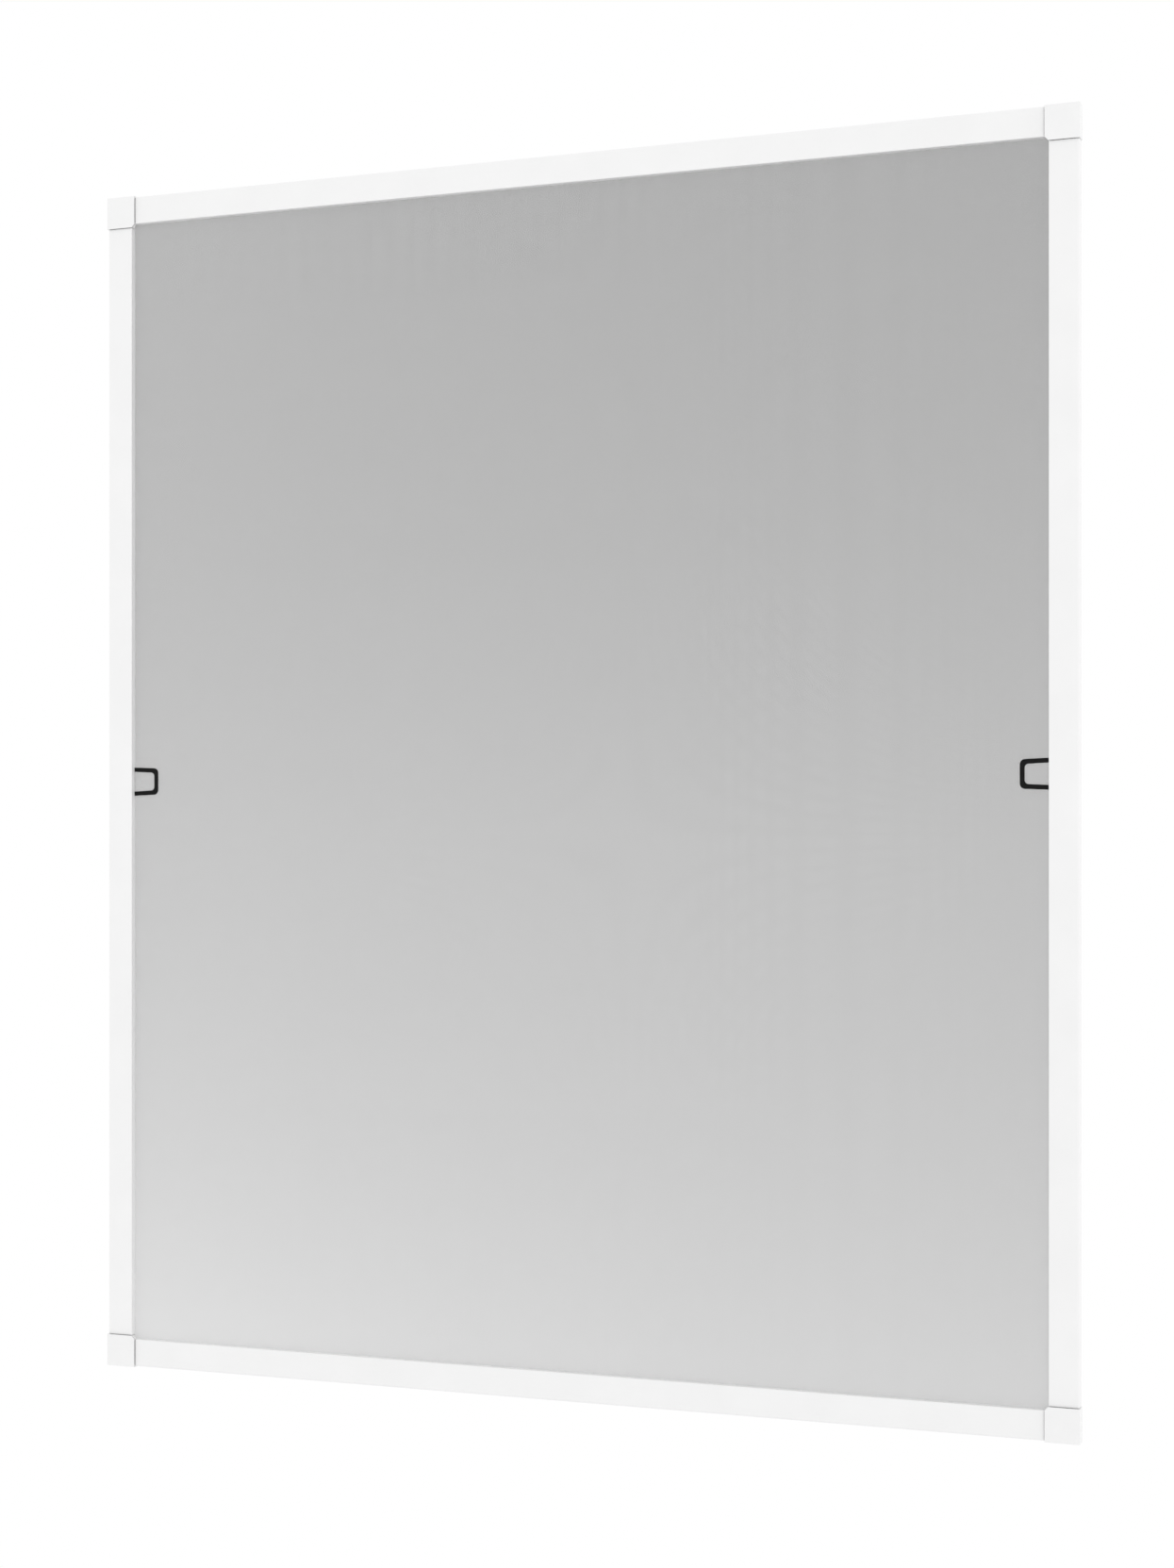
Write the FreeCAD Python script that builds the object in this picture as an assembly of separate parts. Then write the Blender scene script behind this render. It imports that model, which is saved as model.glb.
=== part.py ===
import FreeCAD, Part
import math
import os

# A framed insect screen for a window, in millimetres. X runs to the right, Y from the front face
# to the back, Z upwards, and the origin is the middle of the whole frame. In the rail section u runs
# from the outer edge towards the opening and v from the front face to the back.

# Overall size, measured over the corner mouldings
overall_width = 1000.0
overall_height = 1200.0

# Rail: a hollow extrusion with a chamber at the outer edge and a lip at the opening
rail_width = 27.5
rail_depth = 11.0
rail_wall = 1.2
rail_outer_radius = 2.0
rail_inner_radius = 0.8
rail_back_radius = 0.6
seat_edge_radius = 0.3
lip_width = 6.0
lip_depth = 7.0

# Groove for the spline, open to the back, with a bead that keeps the spline in
groove_width = 4.5
groove_floor = 1.8
bead_height = 0.45
bead_length = 1.0
bead_clearance = 0.4

# Corner moulding: a proud square cap with two legs that plug into the rails
corner_proud_side = 0.8
corner_proud_front = 1.2
corner_shoulder = 4.0
corner_radius = 0.8
corner_edge_radius = 0.4
corner_wall = 1.8
corner_nib_depth = 3.0
shadow_line_width = 0.35
shadow_line_depth = 2.6
joint_gap = 0.15
leg_length = 45.0
leg_clearance = 0.15
leg_wall = 1.8
leg_lead_in = 1.5
leg_pockets = 3

# Mesh: a thin woven sheet, its hem tucked into the groove. The weave is drawn coarse: bands of
# threads with a plain grid of gaps between them, as wide for their pitch as the real mesh's holes
mesh_thickness = 0.3
hem_clearance = 0.2
gap_columns = 10
gap_rows = 12
gap_share = 0.64
band_threads = 5
thread_width = 0.8
thread_height = 0.25
thread_end_gap = 1.0

# Spline: a ribbed soft cord
spline_clearance = 0.05
spline_ribs = 10
spline_rib_height = 0.25

# Pull loop: a flat moulded loop whose T-shaped root lies in a pocket in the rail's lip, under the mesh
loop_length = 27.3
loop_root_width = 29.0
loop_tip_width = 26.7
loop_bar = 4.3
loop_thickness = 1.1
loop_clearance = 0.05
loop_outer_radius = 5.0
loop_inner_radius = 4.0
loop_edge_chamfer = 0.3
root_bar_length = 36.0
root_bar_width = 3.0
root_bar_radius = 0.5

# Places in the rail section that follow from those sizes
chamber_radius = max(rail_outer_radius - rail_wall, 0)
leg_radius = chamber_radius + leg_clearance + leg_lead_in
groove_inner = rail_width - lip_width
groove_outer = groove_inner - groove_width
mesh_back = lip_depth + mesh_thickness
loop_back = lip_depth - thread_height - loop_clearance
loop_front = loop_back - loop_thickness
pocket_floor = loop_front - loop_clearance
pocket_start = groove_inner + rail_wall
pocket_shoulder = pocket_start + root_bar_width + 2 * loop_clearance
spline_diameter = groove_width - 2 * mesh_thickness - 2 * spline_clearance
spline_middle_u = groove_outer + groove_width / 2
spline_middle_v = groove_floor + mesh_thickness + spline_clearance + spline_diameter / 2
bead_start = spline_middle_v + spline_diameter / 2 + bead_clearance

# Places in the frame
rail_span_x = overall_width - 2 * corner_proud_side
rail_span_z = overall_height - 2 * corner_proud_side
corner_reach = rail_width + corner_shoulder
opening_width = rail_span_x - 2 * rail_width
opening_height = rail_span_z - 2 * rail_width
front_face_y = corner_proud_front - (rail_depth + corner_proud_front) / 2

# How far a cutting tool runs past what it cuts
overrun = 1.0
tolerance = 1e-6

upright_axis = FreeCAD.Vector(0, 1, 0)
middle = FreeCAD.Vector(0, 0, 0)


def point(x, y, z):
    return FreeCAD.Vector(x, y, z)


def outline(corners, to_space):
    """A flat face from corners (p, q, radius), each corner rounded by an arc of its radius."""
    spots = [point(p, q, 0) for p, q, _ in corners]
    ends = []
    edges = []
    for i, (_, _, radius) in enumerate(corners):
        here = spots[i]
        if radius == 0:
            ends.append((here, here))
            continue
        back = (spots[i - 1] - here).normalize()
        onward = (spots[(i + 1) % len(spots)] - here).normalize()
        half_angle = back.getAngle(onward) / 2
        inward = (back + onward).normalize()
        setback = radius / math.tan(half_angle)
        start = here + back * setback
        end = here + onward * setback
        crown = here + inward * (radius / math.sin(half_angle) - radius)
        ends.append((start, end))
        bend = [to_space(spot.x, spot.y) for spot in (start, crown, end)]
        edges.append(Part.Arc(*bend).toShape())
    for i, (_, leaving) in enumerate(ends):
        arriving = ends[(i + 1) % len(ends)][0]
        edges.append(Part.makeLine(to_space(leaving.x, leaving.y), to_space(arriving.x, arriving.y)))
    return Part.Face(Part.Wire(Part.__sortEdges__(edges)))


def in_frame_plane(x, z):
    """A place in the frame's own plane, at the rails' front face."""
    return point(x, 0, z)


def plate(corners, front, back):
    """A flat piece with this outline in the frame's plane, from depth front to depth back."""
    face = outline(corners, in_frame_plane)
    face.translate(point(0, front, 0))
    return face.extrude(point(0, back - front, 0))


def block(along, depth, across):
    """A box from three (low, high) pairs in X, Y and Z."""
    low = point(along[0], depth[0], across[0])
    return Part.makeBox(along[1] - along[0], depth[1] - depth[0], across[1] - across[0], low)


def turned(shape, quarter_turns):
    """A copy turned in the frame's plane, so that its lower side moves to the left, the top, the right."""
    copy = shape.copy()
    copy.rotate(middle, upright_axis, 90 * quarter_turns)
    return copy


def rail(length, span):
    """The lower rail of a frame that is span high: an extrusion along X."""
    section = [
        (0, 0, rail_outer_radius),
        (rail_width, 0, rail_inner_radius),
        (rail_width, lip_depth, seat_edge_radius),
        (groove_inner, lip_depth, seat_edge_radius),
        (groove_inner, groove_floor, 0),
        (groove_outer, groove_floor, 0),
        (groove_outer, bead_start, 0),
        (groove_outer + bead_height, bead_start + bead_length / 3, 0),
        (groove_outer + bead_height, bead_start + bead_length * 2 / 3, 0),
        (groove_outer, bead_start + bead_length, 0),
        (groove_outer, rail_depth, rail_back_radius),
        (0, rail_depth, rail_back_radius),
    ]
    chamber = [
        (rail_wall, rail_wall, chamber_radius),
        (groove_outer - rail_wall, rail_wall, 0),
        (groove_outer - rail_wall, rail_depth - rail_wall, 0),
        (rail_wall, rail_depth - rail_wall, 0),
    ]
    lip_chamber = [
        (groove_inner + rail_wall, rail_wall, 0),
        (rail_width - rail_wall, rail_wall, 0),
        (rail_width - rail_wall, pocket_floor - rail_wall, 0),
        (groove_inner + rail_wall, pocket_floor - rail_wall, 0),
    ]

    def at_left_end(u, v):
        return point(-length / 2, v, u - span / 2)

    bar = outline(section, at_left_end).extrude(point(length, 0, 0))
    for hollow in (chamber, lip_chamber):
        bar = bar.cut(outline(hollow, at_left_end).extrude(point(length, 0, 0)))
    return bar


def loop_pocket(span):
    """The T-shaped pocket for a pull loop's root, at the middle of the lower rail of such a frame."""
    half_bar = root_bar_length / 2 + loop_clearance
    half_neck = loop_root_width / 2 + loop_clearance
    depth = (pocket_floor, lip_depth + overrun)
    outer_wall = pocket_start - span / 2
    shoulder = pocket_shoulder - span / 2
    past_lip = rail_width + overrun - span / 2
    bar = block((-half_bar, half_bar), depth, (outer_wall, shoulder))
    neck = block((-half_neck, half_neck), depth, (outer_wall, past_lip))
    return bar.fuse(neck)


def front_edges(shape, depth):
    """The edges of a piece that lie at one depth."""
    return [edge for edge in shape.Edges if all(abs(end.Y - depth) < tolerance for end in edge.Vertexes)]


def leg():
    """One leg of a corner moulding along X, cored from the back, with a tapered tip."""
    root = corner_reach - corner_wall
    tip = corner_reach + leg_length
    across = (rail_wall + leg_clearance, groove_outer - rail_wall - leg_clearance)
    depth = (rail_wall + leg_clearance, rail_depth - rail_wall - leg_clearance)
    section = [
        (across[0], depth[0], leg_radius),
        (across[1], depth[0], 0),
        (across[1], depth[1], 0),
        (across[0], depth[1], 0),
    ]
    bar = outline(section, lambda u, v: point(root, v, u)).extrude(point(tip - root, 0, 0))
    tip_edges = [edge for edge in bar.Edges if all(abs(end.X - tip) < tolerance for end in edge.Vertexes)]
    bar = bar.makeChamfer(leg_lead_in, tip_edges)
    pocket_step = (leg_length - leg_wall) / leg_pockets
    for i in range(leg_pockets):
        start = corner_reach + leg_wall + i * pocket_step
        pocket = block(
            (start, start + pocket_step - leg_wall),
            (depth[0] + leg_wall, depth[1] + overrun),
            (across[0] + leg_wall, across[1] - leg_wall),
        )
        bar = bar.cut(pocket)
    return bar


def both_arms(along, depth, across):
    """The same box on the arm along X and on the arm along Z."""
    return [block(along, depth, across), block(across, depth, along)]


def corner_moulding():
    """The lower left corner, with the corner of the rails' outer edges at the origin."""
    cap_front = -corner_proud_front
    cap_edge = -corner_proud_side
    past_back = rail_depth + overrun
    past_joint = corner_reach + overrun
    cap = plate(
        [
            (cap_edge, cap_edge, corner_radius),
            (corner_reach, cap_edge, 0),
            (corner_reach, rail_width, 0),
            (rail_width, corner_reach, 0),
            (cap_edge, corner_reach, 0),
        ],
        cap_front,
        rail_depth,
    )
    cap = cap.makeFillet(corner_edge_radius, front_edges(cap, cap_front))

    # The spline groove turns the corner, and the mesh's seat lies inside it, with a thin nib in the angle
    cuts = both_arms((groove_outer, past_joint), (groove_floor, past_back), (groove_outer, groove_inner))
    cuts.append(block((groove_inner, past_joint), (lip_depth, past_back), (groove_inner, past_joint)))
    cuts.append(block((rail_width, past_joint), (corner_nib_depth, past_back), (rail_width, past_joint)))

    # Pockets keep the moulding's walls even
    pocket_depth = (cap_front + corner_wall, past_back)
    pocket_width = (cap_edge + corner_wall, groove_outer - corner_wall)
    cuts.append(block(pocket_width, pocket_depth, pocket_width))
    cuts += both_arms((groove_outer, corner_reach - corner_wall), pocket_depth, pocket_width)

    for cut in cuts:
        cap = cap.cut(cut)
    first_leg = leg()
    second_leg = first_leg.mirror(middle, point(1, 0, -1))
    moulding = cap.fuse(first_leg).fuse(second_leg)

    # A shadow line runs round the root of each leg, where the cap meets a rail
    line = (corner_reach - shadow_line_width, corner_reach)
    around = (cap_edge - overrun, past_joint)
    kept = (shadow_line_depth, rail_width - shadow_line_depth)
    outer = both_arms(line, (cap_front - overrun, rail_depth + overrun), around)
    inner = both_arms(line, (shadow_line_depth, rail_depth + 2 * overrun), kept)
    for wide, core in zip(outer, inner):
        moulding = moulding.cut(wide.cut(core))
    return moulding.removeSplitter()


def spline(length, span):
    """The lower length of spline in a frame that is span high, a ribbed cord along X."""
    crest = spline_diameter / 2
    section = []
    for i in range(2 * spline_ribs):
        radius = crest - spline_rib_height * (i % 2)
        angle = math.pi * i / spline_ribs
        u = spline_middle_u + radius * math.cos(angle)
        v = spline_middle_v + radius * math.sin(angle)
        section.append((u, v, 0))

    def at_left_end(u, v):
        return point(-length / 2, v, u - span / 2)

    return outline(section, at_left_end).extrude(point(length, 0, 0))


def slab(u, front, back):
    """A flat sheet over the frame, its edge u in from the rails' outer edges."""
    half_x = rail_span_x / 2 - u
    half_z = rail_span_z / 2 - u
    return block((-half_x, half_x), (front, back), (-half_z, half_z))


def ring(outer_u, inner_u, front, back):
    """A rectangular ring between two distances from the rails' outer edges."""
    return slab(outer_u, front, back).cut(slab(inner_u, front - overrun, back + overrun))


def thread_places(reach, gaps):
    """Where the threads lie across the opening: a band between each two gaps, half a band at each edge."""
    pitch = reach / gaps
    spacing = pitch * (1 - gap_share) / band_threads
    places = []
    for band in range(gaps + 1):
        for i in range(band_threads):
            place = band * pitch - reach / 2 + (i - (band_threads - 1) / 2) * spacing
            if abs(place) + thread_width / 2 + thread_end_gap < reach / 2:
                places.append(place)
    return places


def threads(places, length, root, crest, to_space, run):
    """Parallel threads on one face of the mesh, tied by a spine inside the sheet."""
    half = thread_width / 2
    spine = (root + (lip_depth + mesh_back) / 2) / 2
    waist = (spine + root) / 2
    section = [(places[-1] + half, spine, 0), (places[0] - half, spine, 0)]
    for i, place in enumerate(places):
        section += [(place - half, crest, 0), (place + half, crest, 0)]
        if place < places[-1]:
            section += [(place + half, waist, 0), (places[i + 1] - half, waist, 0)]
    face = outline(section, lambda p, v: to_space(p, v, -length / 2))
    return face.extrude(run * length)


def insect_mesh():
    """The woven sheet with its hem, ridges for the threads and a grid of gaps."""
    hem_top = bead_start - hem_clearance
    sheet = slab(groove_inner - mesh_thickness, lip_depth, mesh_back)
    hem = [
        ring(groove_inner - mesh_thickness, groove_inner, groove_floor, mesh_back),
        ring(groove_outer, groove_inner, groove_floor, groove_floor + mesh_thickness),
        ring(groove_outer, groove_outer + mesh_thickness, groove_floor, hem_top),
    ]
    warp = threads(
        thread_places(opening_width, gap_columns),
        opening_height - 2 * thread_end_gap,
        mesh_back,
        mesh_back + thread_height,
        point,
        point(0, 0, 1),
    )
    weft = threads(
        thread_places(opening_height, gap_rows),
        opening_width - 2 * thread_end_gap,
        lip_depth,
        lip_depth - thread_height,
        lambda z, y, x: point(x, y, z),
        point(1, 0, 0),
    )
    woven = sheet.fuse(hem + [warp, weft]).removeSplitter()

    pitch_x = opening_width / gap_columns
    pitch_z = opening_height / gap_rows
    half_x = pitch_x * gap_share / 2
    half_z = pitch_z * gap_share / 2
    depth = (lip_depth - overrun, mesh_back + overrun)
    gaps = []
    for column in range(gap_columns):
        x = (column + 0.5) * pitch_x - opening_width / 2
        for row in range(gap_rows):
            z = (row + 0.5) * pitch_z - opening_height / 2
            gaps.append(block((x - half_x, x + half_x), depth, (z - half_z, z + half_z)))
    return woven.cut(Part.makeCompound(gaps))


def pull_loop():
    """The left pull loop, with the inner edge of its rail at x = 0 and its middle at z = 0."""
    root_start = pocket_start + loop_clearance - rail_width
    root_end = root_start + root_bar_width
    half_root = loop_root_width / 2
    half_tip = loop_tip_width / 2
    half_bar = root_bar_length / 2
    body = plate(
        [
            (root_start, -half_bar, root_bar_radius),
            (root_end, -half_bar, root_bar_radius),
            (root_end, -half_root, 0),
            (loop_length, -half_tip, loop_outer_radius),
            (loop_length, half_tip, loop_outer_radius),
            (root_end, half_root, 0),
            (root_end, half_bar, root_bar_radius),
            (root_start, half_bar, root_bar_radius),
        ],
        loop_front,
        loop_back,
    )
    finger_hole = plate(
        [
            (root_end, loop_bar - half_root, 0),
            (loop_length - loop_bar, loop_bar - half_tip, loop_inner_radius),
            (loop_length - loop_bar, half_tip - loop_bar, loop_inner_radius),
            (root_end, half_root - loop_bar, 0),
        ],
        loop_front - overrun,
        loop_back + overrun,
    )
    body = body.cut(finger_hole)
    rims = front_edges(body, loop_front) + front_edges(body, loop_back)
    return body.makeChamfer(loop_edge_chamfer, rims)


rail_length_x = rail_span_x - 2 * (corner_reach + joint_gap)
rail_length_z = rail_span_z - 2 * (corner_reach + joint_gap)
rail_across = rail(rail_length_x, rail_span_z)
rail_upright = rail(rail_length_z, rail_span_x).cut(loop_pocket(rail_span_x))

spline_start = groove_outer + mesh_thickness + spline_clearance
spline_end = spline_middle_u + spline_diameter / 2 + spline_clearance
spline_across = spline(rail_span_x - 2 * spline_start, rail_span_z)
spline_upright = spline(rail_span_z - 2 * spline_end, rail_span_x)

corner = corner_moulding()
corner_x = rail_span_x / 2
corner_z = rail_span_z / 2

left_loop = pull_loop()
left_loop.translate(point(rail_width - rail_span_x / 2, 0, 0))

pieces = {"insect_mesh": insect_mesh()}
sides = ["bottom", "left", "top", "right"]
corners = [
    ("bottom_left", -corner_x, -corner_z),
    ("top_left", -corner_x, corner_z),
    ("top_right", corner_x, corner_z),
    ("bottom_right", corner_x, -corner_z),
]
for turn in range(4):
    lies_across = turn % 2 == 0
    side = sides[turn]
    pieces["rail_" + side] = turned(rail_across if lies_across else rail_upright, turn)
    pieces["spline_" + side] = turned(spline_across if lies_across else spline_upright, turn)
    corner_name, x, z = corners[turn]
    pieces["corner_" + corner_name] = turned(corner, turn).translated(point(x, 0, z))
pieces["pull_loop_left"] = left_loop
pieces["pull_loop_right"] = turned(left_loop, 2)

os.makedirs("parts", exist_ok=True)
for name, shape in pieces.items():
    shape.translate(point(0, front_face_y, 0))
    shape.exportStep("parts/" + name + ".step")
    print(name, len(shape.Solids), shape.isValid(), round(shape.Volume / 1000, 2), "cm3")
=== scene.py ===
import bmesh
import bpy
import math
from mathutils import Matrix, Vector


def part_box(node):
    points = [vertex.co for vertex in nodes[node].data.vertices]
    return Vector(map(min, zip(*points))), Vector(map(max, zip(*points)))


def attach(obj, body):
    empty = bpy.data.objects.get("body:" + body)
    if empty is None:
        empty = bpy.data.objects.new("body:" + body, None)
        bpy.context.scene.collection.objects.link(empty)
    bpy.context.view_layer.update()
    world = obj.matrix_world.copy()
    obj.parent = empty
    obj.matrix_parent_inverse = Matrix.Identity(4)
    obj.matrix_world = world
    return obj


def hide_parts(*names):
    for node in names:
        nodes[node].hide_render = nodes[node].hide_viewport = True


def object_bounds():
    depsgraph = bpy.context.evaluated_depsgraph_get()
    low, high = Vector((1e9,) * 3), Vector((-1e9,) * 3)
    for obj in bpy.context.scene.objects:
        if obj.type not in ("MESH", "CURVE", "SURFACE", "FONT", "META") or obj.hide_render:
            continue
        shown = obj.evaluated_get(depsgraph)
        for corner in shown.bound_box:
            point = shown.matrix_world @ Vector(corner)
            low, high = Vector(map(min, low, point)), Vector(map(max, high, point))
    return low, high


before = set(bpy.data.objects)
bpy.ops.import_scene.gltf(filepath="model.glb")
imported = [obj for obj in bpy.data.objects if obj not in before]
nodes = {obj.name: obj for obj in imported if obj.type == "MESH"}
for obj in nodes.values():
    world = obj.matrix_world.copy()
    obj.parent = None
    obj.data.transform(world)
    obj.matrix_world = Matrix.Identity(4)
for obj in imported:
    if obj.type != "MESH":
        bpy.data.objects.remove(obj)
cad_low, cad_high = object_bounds()


# Rails: four lengths of hollow aluminium extrusion, cut square and pushed onto the corners' legs.
# Their white powder coat is baked on, so it is satin, with a faint orange peel and barely visible
# clouds in its tone.
noise_low = 0.3
noise_high = 0.7


def new_finish(name):
    """A new material, ready for its tones and its grain."""
    material = bpy.data.materials.new(name)
    material.use_nodes = True
    return material


def tone_between(material, dark, light, cloud_size):
    """Feeds the base colour of a material with soft clouds between two tones."""
    tree = material.node_tree
    place = tree.nodes.new("ShaderNodeTexCoord")
    clouds = tree.nodes.new("ShaderNodeTexNoise")
    clouds.inputs["Scale"].default_value = 1 / cloud_size
    clouds.inputs["Detail"].default_value = 3.0
    ramp = tree.nodes.new("ShaderNodeValToRGB")
    darkest, lightest = ramp.color_ramp.elements
    darkest.position = noise_low
    darkest.color = (*dark, 1)
    lightest.position = noise_high
    lightest.color = (*light, 1)
    tone = tree.nodes["Principled BSDF"].inputs["Base Color"]
    tree.links.new(place.outputs["Object"], clouds.inputs["Vector"])
    tree.links.new(clouds.outputs["Fac"], ramp.inputs["Fac"])
    tree.links.new(ramp.outputs["Color"], tone)


def grained(material, grain_size, height, roughness_low, roughness_high):
    """Gives a material a fine grain: bump, and roughness that follows the same grain."""
    tree = material.node_tree
    surface = tree.nodes["Principled BSDF"]
    place = tree.nodes.new("ShaderNodeTexCoord")
    grain = tree.nodes.new("ShaderNodeTexNoise")
    grain.inputs["Scale"].default_value = 1 / grain_size
    grain.inputs["Detail"].default_value = 2.0
    bump = tree.nodes.new("ShaderNodeBump")
    bump.inputs["Strength"].default_value = 1.0
    bump.inputs["Distance"].default_value = height
    sheen = tree.nodes.new("ShaderNodeMapRange")
    sheen.inputs["To Min"].default_value = roughness_low
    sheen.inputs["To Max"].default_value = roughness_high
    tree.links.new(place.outputs["Object"], grain.inputs["Vector"])
    tree.links.new(grain.outputs["Fac"], bump.inputs["Height"])
    tree.links.new(grain.outputs["Fac"], sheen.inputs["Value"])
    tree.links.new(bump.outputs["Normal"], surface.inputs["Normal"])
    tree.links.new(sheen.outputs["Result"], surface.inputs["Roughness"])


def paint_close_shade(material, reach, y_of, none_at, full_at, most=1.0):
    """Paints shade into a finish's base colour where other surfaces stand close to it. The painted shade
    grows between two values of the Y of the surface's direction ("Normal") or of its place ("Object")."""
    tree = material.node_tree
    tone = tree.nodes["Principled BSDF"].inputs["Base Color"]
    bare = tone.links[0].from_socket
    painted_shade = tree.nodes.new("ShaderNodeAmbientOcclusion")
    painted_shade.inputs["Distance"].default_value = reach
    source = tree.nodes.new("ShaderNodeNewGeometry" if y_of == "Normal" else "ShaderNodeTexCoord")
    along = tree.nodes.new("ShaderNodeSeparateXYZ")
    share = tree.nodes.new("ShaderNodeMapRange")
    share.inputs["From Min"].default_value = none_at
    share.inputs["From Max"].default_value = full_at
    share.inputs["To Max"].default_value = most
    blend = tree.nodes.new("ShaderNodeMix")
    blend.data_type = "RGBA"
    tree.links.new(bare, painted_shade.inputs["Color"])
    tree.links.new(source.outputs[y_of], along.inputs[0])
    tree.links.new(along.outputs["Y"], share.inputs["Value"])
    tree.links.new(share.outputs["Result"], blend.inputs["Factor"])
    tree.links.new(bare, blend.inputs["A"])
    tree.links.new(painted_shade.outputs["Color"], blend.inputs["B"])
    tree.links.new(blend.outputs["Result"], tone)


def dress(node_name, material):
    """Puts a finish on a piece that keeps its solid's own shape."""
    piece = nodes[node_name]
    piece.data.materials.clear()
    piece.data.materials.append(material)


powder_coat = new_finish("white_powder_coat")
tone_between(powder_coat, dark=(0.885, 0.885, 0.885), light=(0.905, 0.905, 0.905), cloud_size=0.05)
grained(powder_coat, grain_size=0.0012, height=0.000012, roughness_low=0.42, roughness_high=0.52)

# Painted shade: only faces that look to the front take it, beside the caps that stand proud of them
shade_reach = 0.02
front_from = -0.7
front_full = -0.95
rail_shade = 0.6
paint_close_shade(powder_coat, shade_reach, "Normal", none_at=front_from, full_at=front_full, most=rail_shade)
for side in ("top", "bottom", "left", "right"):
    dress("rail_" + side, powder_coat)


# Corner mouldings: white plastic, each with a square cap and two legs that plug into the rails.
# The moulded skin is a touch smoother than the powder coat, with a fine spark texture.
moulded_white = new_finish("moulded_white")
tone_between(moulded_white, dark=(0.885, 0.885, 0.885), light=(0.9, 0.9, 0.9), cloud_size=0.02)
grained(moulded_white, grain_size=0.0005, height=0.000006, roughness_low=0.36, roughness_high=0.46)

# The painted shade stays in the joints at the front and leaves the pockets in the back alone
cap_wall = 0.0018
pocket_floor = cad_low.y + cap_wall
shade_fade = 0.0004
full_shade = pocket_floor - shade_fade
paint_close_shade(moulded_white, shade_reach, "Object", none_at=pocket_floor, full_at=full_shade)
for corner in ("top_left", "top_right", "bottom_left", "bottom_right"):
    dress("corner_" + corner, moulded_white)


# Insect mesh: coated glass-fibre yarn in a fine open weave, stretched over the opening.
# The yarns are fused where they cross, so they lie as two flat layers, one behind the other,
# on the backs of the rails' lips.
yarn_pitch = 0.00045
yarn_width = 0.00016
yarn_sink = 0.00002
groove_width = 0.0045
thread_height = 0.00025
mesh_low, mesh_high = (Vector(corner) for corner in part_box("insect_mesh"))
mesh_left = mesh_low.x + groove_width
mesh_width = mesh_high.x - mesh_low.x - 2 * groove_width
mesh_bottom = mesh_low.z + groove_width
mesh_height = mesh_high.z - mesh_low.z - 2 * groove_width
mesh_back = mesh_high.y - thread_height

# Painted shading: the grey is darkest at the top right and grows paler towards the bottom left.
# It rises with the square of the distance below a level near the top, and falls evenly towards the right
yarn_grey_at_top = 0.262
yarn_top_level = 0.5
yarn_paler_down = 0.325
yarn_darker_right = -0.22
yarn_roughness = 0.55
yarn = new_finish("mesh_yarn")
tree = yarn.node_tree
surface = tree.nodes["Principled BSDF"]
surface.inputs["Roughness"].default_value = yarn_roughness
place = tree.nodes.new("ShaderNodeTexCoord")
spot = tree.nodes.new("ShaderNodeSeparateXYZ")
down = tree.nodes.new("ShaderNodeMath")
down.operation = "SUBTRACT"
down.inputs[0].default_value = yarn_top_level
square = tree.nodes.new("ShaderNodeMath")
square.operation = "MULTIPLY"
paler = tree.nodes.new("ShaderNodeMath")
paler.operation = "MULTIPLY_ADD"
paler.inputs[1].default_value = yarn_paler_down
paler.inputs[2].default_value = yarn_grey_at_top
darker = tree.nodes.new("ShaderNodeMath")
darker.operation = "MULTIPLY_ADD"
darker.inputs[1].default_value = yarn_darker_right
tree.links.new(place.outputs["Object"], spot.inputs[0])
tree.links.new(spot.outputs["Z"], down.inputs[1])
tree.links.new(down.outputs[0], square.inputs[0])
tree.links.new(down.outputs[0], square.inputs[1])
tree.links.new(square.outputs[0], paler.inputs[0])
tree.links.new(spot.outputs["X"], darker.inputs[0])
tree.links.new(paler.outputs[0], darker.inputs[2])
tree.links.new(darker.outputs[0], surface.inputs["Base Color"])


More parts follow.
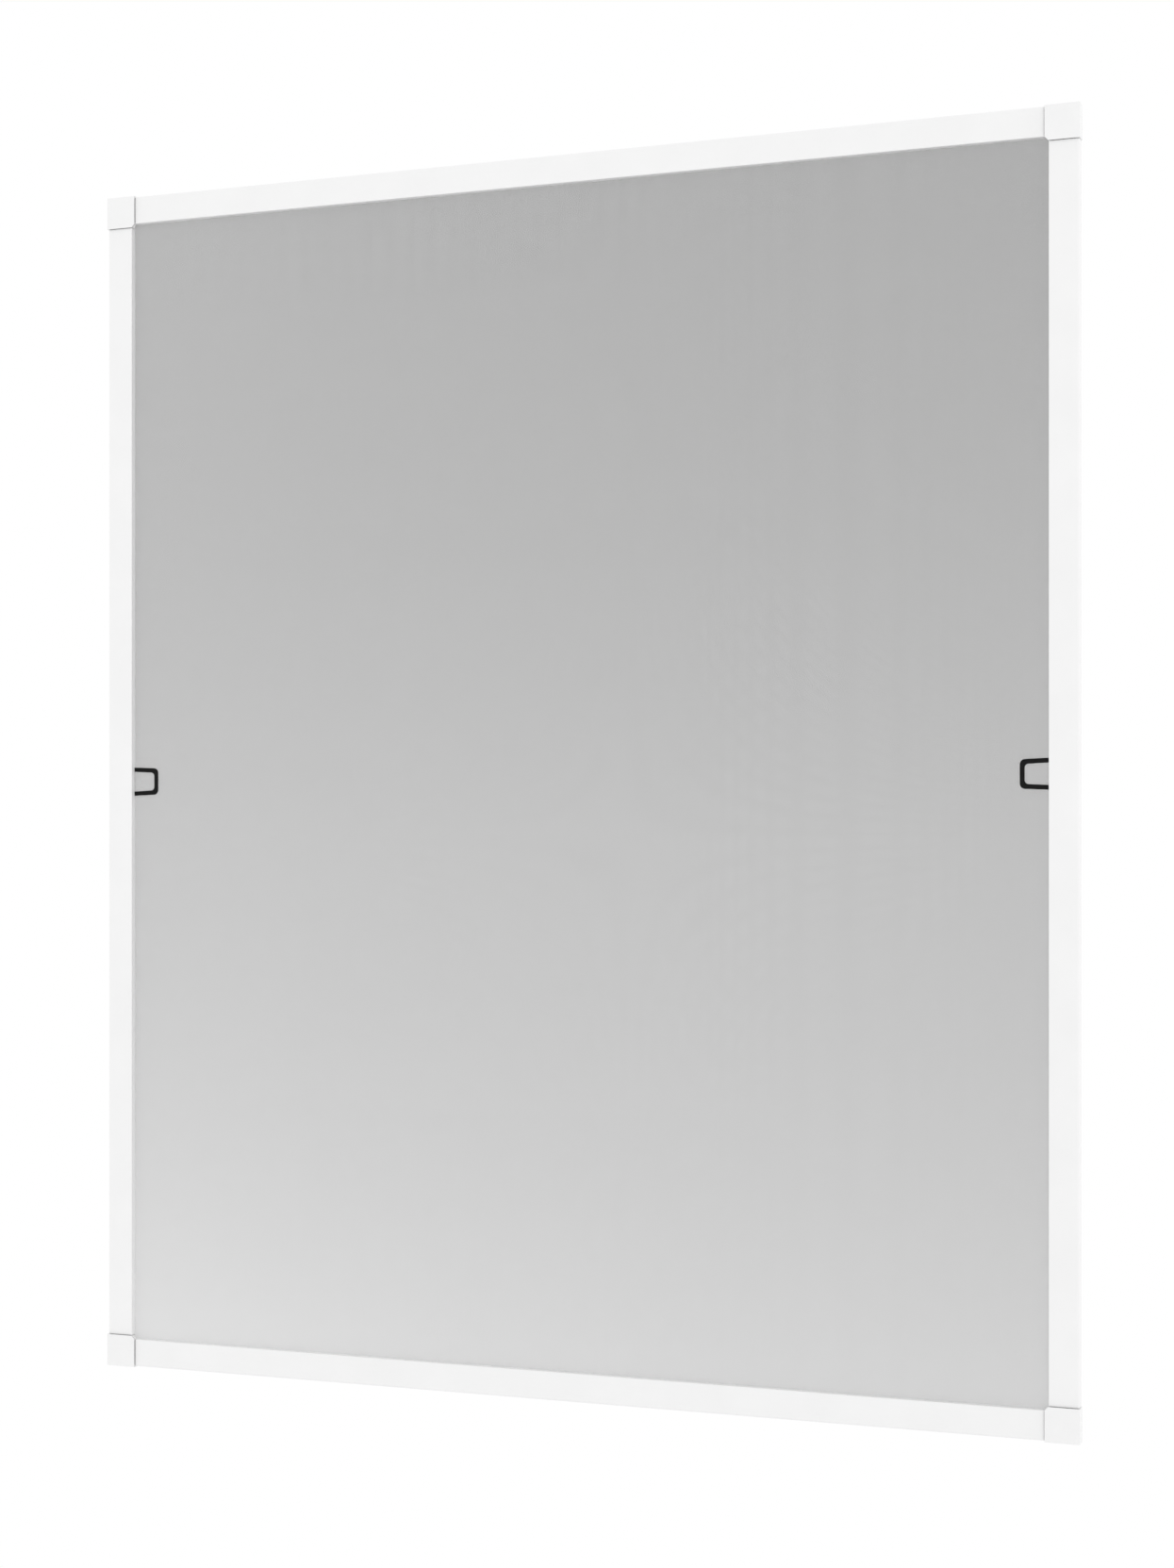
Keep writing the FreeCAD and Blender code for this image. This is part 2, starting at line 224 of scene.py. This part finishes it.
def weave_tree():
    """Rows of straight yarns: upright ones in front, level ones behind, sunk a little into each other.
    Returns the node tree and the identifier of each of its inputs by name."""
    tree = bpy.data.node_groups.new("open_weave", "GeometryNodeTree")
    sizes = ("Left", "Bottom", "Back", "Width", "Height", "Pitch", "Yarn", "Sink")
    kinds = {name: "NodeSocketFloat" for name in sizes}
    kinds["Finish"] = "NodeSocketMaterial"
    sockets = {}
    for name, kind in kinds.items():
        sockets[name] = tree.interface.new_socket(name, in_out="INPUT", socket_type=kind).identifier
    tree.interface.new_socket("Mesh", in_out="OUTPUT", socket_type="NodeSocketGeometry")
    made = tree.nodes
    given = made.new("NodeGroupInput").outputs
    result = made.new("NodeGroupOutput")

    def feed(node, values):
        """Gives a node's inputs these values, numbers or other nodes' outputs, and returns its output."""
        for socket, value in zip(node.inputs, values):
            if isinstance(value, (int, float)):
                socket.default_value = value
            else:
                tree.links.new(value, socket)
        return node.outputs[0]

    def maths(operation, *values):
        node = made.new("ShaderNodeMath")
        node.operation = operation
        return feed(node, values)

    def vector(x, y, z):
        return feed(made.new("ShaderNodeCombineXYZ"), (x, y, z))

    def rows(reach, start, step, size):
        """Yarns of one size, repeated along a line."""
        line = made.new("GeometryNodeMeshLine")
        tree.links.new(maths("FLOOR", maths("DIVIDE", reach, given["Pitch"])), line.inputs["Count"])
        tree.links.new(start, line.inputs["Start Location"])
        tree.links.new(step, line.inputs["Offset"])
        yarn_box = made.new("GeometryNodeMeshCube")
        tree.links.new(size, yarn_box.inputs["Size"])
        copies = made.new("GeometryNodeInstanceOnPoints")
        tree.links.new(line.outputs["Mesh"], copies.inputs["Points"])
        tree.links.new(yarn_box.outputs["Mesh"], copies.inputs["Instance"])
        return copies.outputs["Instances"]

    half = maths("DIVIDE", given["Pitch"], 2)
    middle_x = maths("ADD", given["Left"], maths("DIVIDE", given["Width"], 2))
    middle_z = maths("ADD", given["Bottom"], maths("DIVIDE", given["Height"], 2))
    level_y = maths("SUBTRACT", given["Back"], maths("DIVIDE", given["Yarn"], 2))
    upright_y = maths("ADD", maths("SUBTRACT", level_y, given["Yarn"]), given["Sink"])
    upright = rows(
        given["Width"],
        vector(maths("ADD", given["Left"], half), upright_y, middle_z),
        vector(given["Pitch"], 0, 0),
        vector(given["Yarn"], given["Yarn"], given["Height"]),
    )
    level = rows(
        given["Height"],
        vector(middle_x, level_y, maths("ADD", given["Bottom"], half)),
        vector(0, 0, given["Pitch"]),
        vector(given["Width"], given["Yarn"], given["Yarn"]),
    )
    both = made.new("GeometryNodeJoinGeometry")
    tree.links.new(upright, both.inputs[0])
    tree.links.new(level, both.inputs[0])
    real = made.new("GeometryNodeRealizeInstances")
    tree.links.new(both.outputs[0], real.inputs[0])
    painted = made.new("GeometryNodeSetMaterial")
    tree.links.new(real.outputs[0], painted.inputs["Geometry"])
    tree.links.new(given["Finish"], painted.inputs["Material"])
    tree.links.new(painted.outputs[0], result.inputs[0])
    return tree, sockets


def settled(name, tree, sockets, values):
    """A plain mesh object made by a node tree with these input values."""
    start = bpy.data.objects.new(name + "_start", bpy.data.meshes.new(name + "_start"))
    bpy.context.collection.objects.link(start)
    modifier = start.modifiers.new("made", "NODES")
    modifier.node_group = tree
    for socket_name, value in values.items():
        modifier[sockets[socket_name]] = value
    depsgraph = bpy.context.evaluated_depsgraph_get()
    mesh = bpy.data.meshes.new_from_object(start.evaluated_get(depsgraph))
    mesh.name = name
    bpy.data.objects.remove(start)
    piece = bpy.data.objects.new(name, mesh)
    bpy.context.collection.objects.link(piece)
    return piece


weave, weave_inputs = weave_tree()
woven = settled(
    "woven_mesh",
    weave,
    weave_inputs,
    {
        "Left": mesh_left,
        "Bottom": mesh_bottom,
        "Back": mesh_back,
        "Width": mesh_width,
        "Height": mesh_height,
        "Pitch": yarn_pitch,
        "Yarn": yarn_width,
        "Sink": yarn_sink,
        "Finish": yarn,
    },
)
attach(woven, "root")
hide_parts("insect_mesh")


# Hem: the mesh's own edge, folded down into the spline groove, across its floor and up its outer wall.
# It is the same cloth, and the spline presses it in on all four sides.
cloth_thickness = 0.0003
hem_outer_height = 0.00435
hem_floor = mesh_low.y
hem_outer_top = hem_floor + hem_outer_height
fold = [
    (groove_width, mesh_back),
    (groove_width, hem_floor),
    (0, hem_floor),
    (0, hem_outer_top),
    (cloth_thickness, hem_outer_top),
    (cloth_thickness, hem_floor + cloth_thickness),
    (groove_width - cloth_thickness, hem_floor + cloth_thickness),
    (groove_width - cloth_thickness, mesh_back),
]


def folded_ring(name, section, low, high):
    """A section of (distance in from the edge, depth) points, run round a rectangle with mitred corners."""
    shape = bmesh.new()
    loops = []
    for inset, depth in section:
        left, right = low.x + inset, high.x - inset
        bottom, top = low.z + inset, high.z - inset
        around = [(left, bottom), (right, bottom), (right, top), (left, top)]
        loops.append([shape.verts.new((x, depth, z)) for x, z in around])
    for near, far in zip(loops, loops[1:] + loops[:1]):
        for i in range(len(near)):
            shape.faces.new([near[i], near[i - 1], far[i - 1], far[i]])
    bmesh.ops.recalc_face_normals(shape, faces=shape.faces)
    mesh = bpy.data.meshes.new(name)
    shape.to_mesh(mesh)
    shape.free()
    piece = bpy.data.objects.new(name, mesh)
    bpy.context.collection.objects.link(piece)
    return piece


hem = folded_ring("mesh_hem", fold, mesh_low, mesh_high)
hem.data.materials.append(yarn)
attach(hem, "root")


# Spline: a ribbed soft cord, pressed into the groove behind the rails over the mesh's hem.
# It is extruded rubbery plastic, dull grey.
spline_rubber = new_finish("spline_rubber")
tone_between(spline_rubber, dark=(0.15, 0.15, 0.155), light=(0.2, 0.2, 0.205), cloud_size=0.01)
grained(spline_rubber, grain_size=0.0006, height=0.00002, roughness_low=0.6, roughness_high=0.75)
for side in ("top", "bottom", "left", "right"):
    dress("spline_" + side, spline_rubber)


# Pull loops: flat loops of black moulded plastic, one at mid height on each side.
# Their T-shaped roots lie in pockets in the rails' lips, and the stretched mesh keeps them there.
matt_gloss_level = 0.1
moulded_black = new_finish("moulded_black")
tone_between(moulded_black, dark=(0.006, 0.006, 0.006), light=(0.009, 0.009, 0.009), cloud_size=0.006)
grained(moulded_black, grain_size=0.0004, height=0.00001, roughness_low=0.5, roughness_high=0.65)
surface = moulded_black.node_tree.nodes["Principled BSDF"]
surface.inputs["Specular IOR Level"].default_value = matt_gloss_level
for side in ("left", "right"):
    dress("pull_loop_" + side, moulded_black)


# Studio: a pale floor, as far below the frame as a window stands above the floor of a room,
# a white surround and a soft lamp on either side.
# To the camera the floor is almost plain white, and it keeps a faint shadow.
sill_height = 0.9
floor_level = cad_low.z - sill_height
floor_reach = 1.9
floor_tone = (0.9, 0.9, 0.9, 1)
floor_roughness = 0.9
floor_white_share = 0.88
floor_mesh = bpy.data.meshes.new("studio_floor")
shape = bmesh.new()
corner_signs = [(-1, -1), (1, -1), (1, 1), (-1, 1)]
shape.faces.new([shape.verts.new((x * floor_reach, y * floor_reach, floor_level)) for x, y in corner_signs])
shape.to_mesh(floor_mesh)
shape.free()
floor = bpy.data.objects.new("studio_floor", floor_mesh)
bpy.context.collection.objects.link(floor)
floor_paint = new_finish("studio_floor")
tree = floor_paint.node_tree
surface = tree.nodes["Principled BSDF"]
surface.inputs["Base Color"].default_value = floor_tone
surface.inputs["Roughness"].default_value = floor_roughness
glow = tree.nodes.new("ShaderNodeEmission")
path = tree.nodes.new("ShaderNodeLightPath")
share = tree.nodes.new("ShaderNodeMath")
share.operation = "MULTIPLY"
share.inputs[1].default_value = floor_white_share
blend = tree.nodes.new("ShaderNodeMixShader")
tree.links.new(path.outputs["Is Camera Ray"], share.inputs[0])
tree.links.new(share.outputs[0], blend.inputs["Fac"])
tree.links.new(surface.outputs[0], blend.inputs[1])
tree.links.new(glow.outputs[0], blend.inputs[2])
tree.links.new(blend.outputs[0], tree.nodes["Material Output"].inputs["Surface"])
floor_mesh.materials.append(floor_paint)

# The surround's soft light is a touch stronger than the plain white that the camera sees
ambient = 1.02
background_white = 1.0
world = bpy.data.worlds.new("studio")
bpy.context.scene.world = world
world.use_nodes = True
tree = world.node_tree
lit = tree.nodes["Background"]
lit.inputs["Color"].default_value = (1, 1, 1, 1)
lit.inputs["Strength"].default_value = ambient
white = tree.nodes.new("ShaderNodeBackground")
white.inputs["Color"].default_value = (1, 1, 1, 1)
white.inputs["Strength"].default_value = background_white
path = tree.nodes.new("ShaderNodeLightPath")
seen = path.outputs["Is Camera Ray"]
for ray in ("Is Glossy Ray", "Is Transmission Ray"):
    either = tree.nodes.new("ShaderNodeMath")
    either.operation = "MAXIMUM"
    tree.links.new(seen, either.inputs[0])
    tree.links.new(path.outputs[ray], either.inputs[1])
    seen = either.outputs[0]
blend = tree.nodes.new("ShaderNodeMixShader")
tree.links.new(seen, blend.inputs["Fac"])
tree.links.new(lit.outputs[0], blend.inputs[1])
tree.links.new(white.outputs[0], blend.inputs[2])
tree.links.new(blend.outputs[0], tree.nodes["World Output"].inputs["Surface"])


def soft_box(name, place, size, power):
    """A square lamp that faces the middle of the frame."""
    lamp = bpy.data.lights.new(name, "AREA")
    lamp.shape = "SQUARE"
    lamp.size = size
    lamp.energy = power
    lamp_object = bpy.data.objects.new(name, lamp)
    lamp_object.location = place
    lamp_object.rotation_euler = (-Vector(place)).to_track_quat("-Z", "Y").to_euler()
    bpy.context.collection.objects.link(lamp_object)


soft_box("left_light", place=(-5.0, -0.7, 0.3), size=1.2, power=8)
soft_box("right_light", place=(5.0, -0.28, 0.3), size=0.45, power=8)


# Camera: level, in front of the frame and to its right, a little below its middle.
# The lens shift sets the horizon where the photograph has it.
image_height = 1663
focal_length_px = 2792
horizon_below_middle_px = 57.0
camera_level = math.radians(90)
camera_turn = math.radians(20.99)
camera_right = 0.931
camera_distance = 2.3518
camera_below = 0.0576
camera_data = bpy.data.cameras.new("photo_view")
camera_data.sensor_width = 36.0
camera_data.lens = camera_data.sensor_width * focal_length_px / image_height
camera_data.shift_y = horizon_below_middle_px / image_height
camera_data.clip_start = 0.05
camera = bpy.data.objects.new("photo_view", camera_data)
camera.location = (camera_right, cad_low.y - camera_distance, -camera_below)
camera.rotation_euler = (camera_level, 0, camera_turn)
bpy.context.collection.objects.link(camera)
bpy.context.scene.camera = camera
bpy.context.scene.view_settings.view_transform = "Standard"
